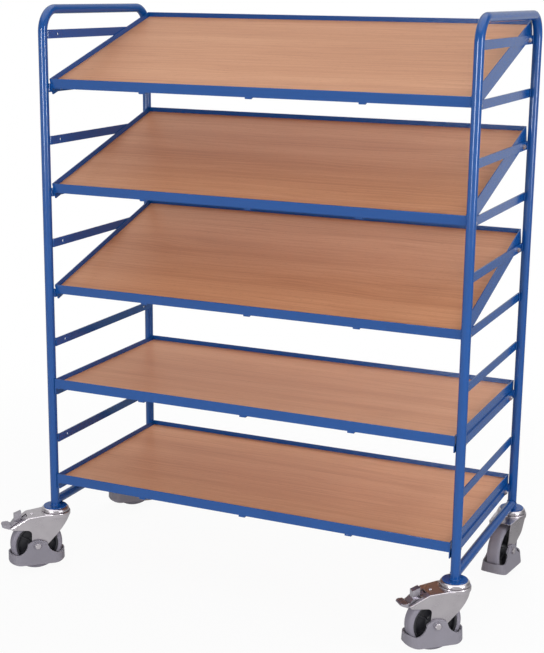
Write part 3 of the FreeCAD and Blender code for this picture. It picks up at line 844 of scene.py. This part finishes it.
def makeCamera():
    yaw = math.radians(photoView["yaw"])
    pitch = math.radians(photoView["pitch"])
    posts = [Vector(joints[caster + "_swivel_turn"]["pos_m"]) for caster in casters]
    middle = sum(posts, Vector()) / len(posts)
    middle.z = 0.0
    level = math.cos(pitch)
    ahead = Vector((-math.sin(yaw) * level, math.cos(yaw) * level, -math.sin(pitch)))
    roll = Matrix.Rotation(math.radians(photoView["roll"]), 4, "Z")
    data = bpy.data.cameras.new("photoView")
    data.lens = photoView["lens"]
    camera = addObject("photoView", data)
    stand = Matrix.Translation(middle + Vector(photoView["place"]))
    camera.matrix_world = stand @ aimed(ahead, "-Z") @ roll
    bpy.context.scene.camera = camera


# soft boxes of the studio: centre, width and height in metres, power in watts
softBoxes = {
    "overhead": {"place": (0.2, -0.9, 4.4), "size": (3.6, 2.6), "power": 7.0},
    "frontFill": {"place": (0.9, -4.8, 1.8), "size": (3.0, 1.8), "power": 120.0},
    "backFill": {"place": (0.0, 4.2, 2.6), "size": (3.0, 1.8), "power": 85.0},
    "rightFill": {"place": (4.6, -0.6, 2.2), "size": (2.0, 2.0), "power": 80.0},
}
# upright strips, which only show as highlights in paint and metal
stripLamps = {
    "leftStrip": {"place": (-0.7, -4.7, 1.8), "size": (0.8, 2.2), "power": 130.0},
    "rightStrip": {"place": (4.55, -1.22, 1.75), "size": (0.9, 2.2), "power": 110.0},
}


def makeLamp(name, lamp, isStrip):
    data = bpy.data.lights.new(name, "AREA")
    data.shape = "RECTANGLE"
    data.size, data.size_y = lamp["size"]
    data.energy = lamp["power"]
    light = addObject(name, data)
    light.visible_diffuse = not isStrip
    light.visible_glossy = isStrip
    way = (Vector(cadBox[0]) + Vector(cadBox[1])) / 2 - Vector(lamp["place"])
    if isStrip:
        way.z = 0.0
    light.matrix_world = Matrix.Translation(lamp["place"]) @ aimed(way, "-Z")


# pale surroundings, as metal and paint mirror them: a bright ceiling, a pale back that ends
# at the right, a dimmer room in front; ranges are on a direction's X, Y or Z
surroundings = {
    "ceiling": 2.0,
    "ceilingRange": (0.58, 0.82),
    "front": 0.35,
    "back": 0.62,
    "frontToBack": (-0.25, 0.25),
    "rightFade": 0.7,
    "rightRange": (0.3, 0.45),
    "behindRange": (0.3, 0.6),
    "glow": 0.62,  # what lights matt surfaces
}


def rayKind(flow, name):
    return flow.node("ShaderNodeLightPath", {}, {}, name)


def makeWorld():
    world = bpy.data.worlds.new("studio")
    world.use_nodes = True
    bpy.context.scene.world = world
    flow = Flow(world.node_tree)
    seen = rayKind(flow, "Is Camera Ray")
    mirrored = rayKind(flow, "Is Glossy Ray")
    side = flow.node("ShaderNodeTexCoord", {}, {}, "Generated")
    along = axisOf(flow, side, "Y")
    right = ease(flow, axisOf(flow, side, "X"), *surroundings["rightRange"])
    behind = ease(flow, along, *surroundings["behindRange"])
    ceiling = ease(flow, axisOf(flow, side, "Z"), *surroundings["ceilingRange"])
    room = ease(flow, along, *surroundings["frontToBack"],
                surroundings["front"], surroundings["back"])
    room = room * (1 - right * behind * surroundings["rightFade"])
    mirror = room + ceiling * surroundings["ceiling"] - ceiling * room
    lighting = mirrored * mirror + (1 - mirrored) * surroundings["glow"]
    strength = seen + (1 - seen) * lighting  # the camera sees plain white
    ground = world.node_tree.nodes["Background"]
    ground.inputs["Color"].default_value = white
    flow.tree.links.new(strength.socket, ground.inputs["Strength"])


# pale floor that keeps a soft shadow near the object and fades to white further off;
# reach, behind and the two ranges are in metres
paleFloor = {
    "reach": 60.0,
    "behind": 6.0,
    "chalk": 0.65,  # how pale the floor is to the light
    "white": 0.94,  # share of plain white near the object
    "whiteRange": (1.2, 3.0),
    "mirrorFront": 0.82,  # how bright metal and paint mirror it
    "mirrorBack": 0.32,
    "mirrorRange": (-1.0, 1.0),
}


def makeFloorFinish():
    material, flow, place = startMaterial("paleFloor")
    seen = rayKind(flow, "Is Camera Ray")
    mirrored = rayKind(flow, "Is Glossy Ray")
    distance = flow.node("ShaderNodeVectorMath", {"operation": "LENGTH"}, {0: place}, "Value")
    share = ease(flow, distance, *paleFloor["whiteRange"], paleFloor["white"], 1.0)
    sheen = ease(flow, axisOf(flow, place, "Y"), *paleFloor["mirrorRange"],
                 paleFloor["mirrorFront"], paleFloor["mirrorBack"])
    grey = (paleFloor["chalk"], paleFloor["chalk"], paleFloor["chalk"], 1.0)
    chalk = flow.node("ShaderNodeBsdfDiffuse", {}, {"Color": grey})
    brightness = {"Color": white, "Strength": seen + mirrored * sheen}
    glow = flow.node("ShaderNodeEmission", {}, brightness)
    mixed = flow.node("ShaderNodeMixShader", {}, {0: seen * share + mirrored, 1: chalk, 2: glow})
    flow.tree.links.new(mixed.socket, flow.tree.nodes["Material Output"].inputs["Surface"])
    return material


def makeFloor():
    shape = bmesh.new()
    half = (paleFloor["reach"] + paleFloor["behind"]) / 2
    spread = Matrix.Diagonal((paleFloor["reach"], half, 1, 1))
    middle = Matrix.Translation((0, paleFloor["behind"] - half, 0))
    bmesh.ops.create_grid(shape, x_segments=1, y_segments=1, size=1.0, matrix=middle @ spread)
    floor = addMesh("paleFloor", shape, makeFloorFinish())


makeCamera()
for name, lamp in softBoxes.items():
    makeLamp(name, lamp, isStrip=False)
for name, lamp in stripLamps.items():
    makeLamp(name, lamp, isStrip=True)
makeWorld()
makeFloor()
bpy.context.scene.view_settings.view_transform = "Standard"
print("studio set")
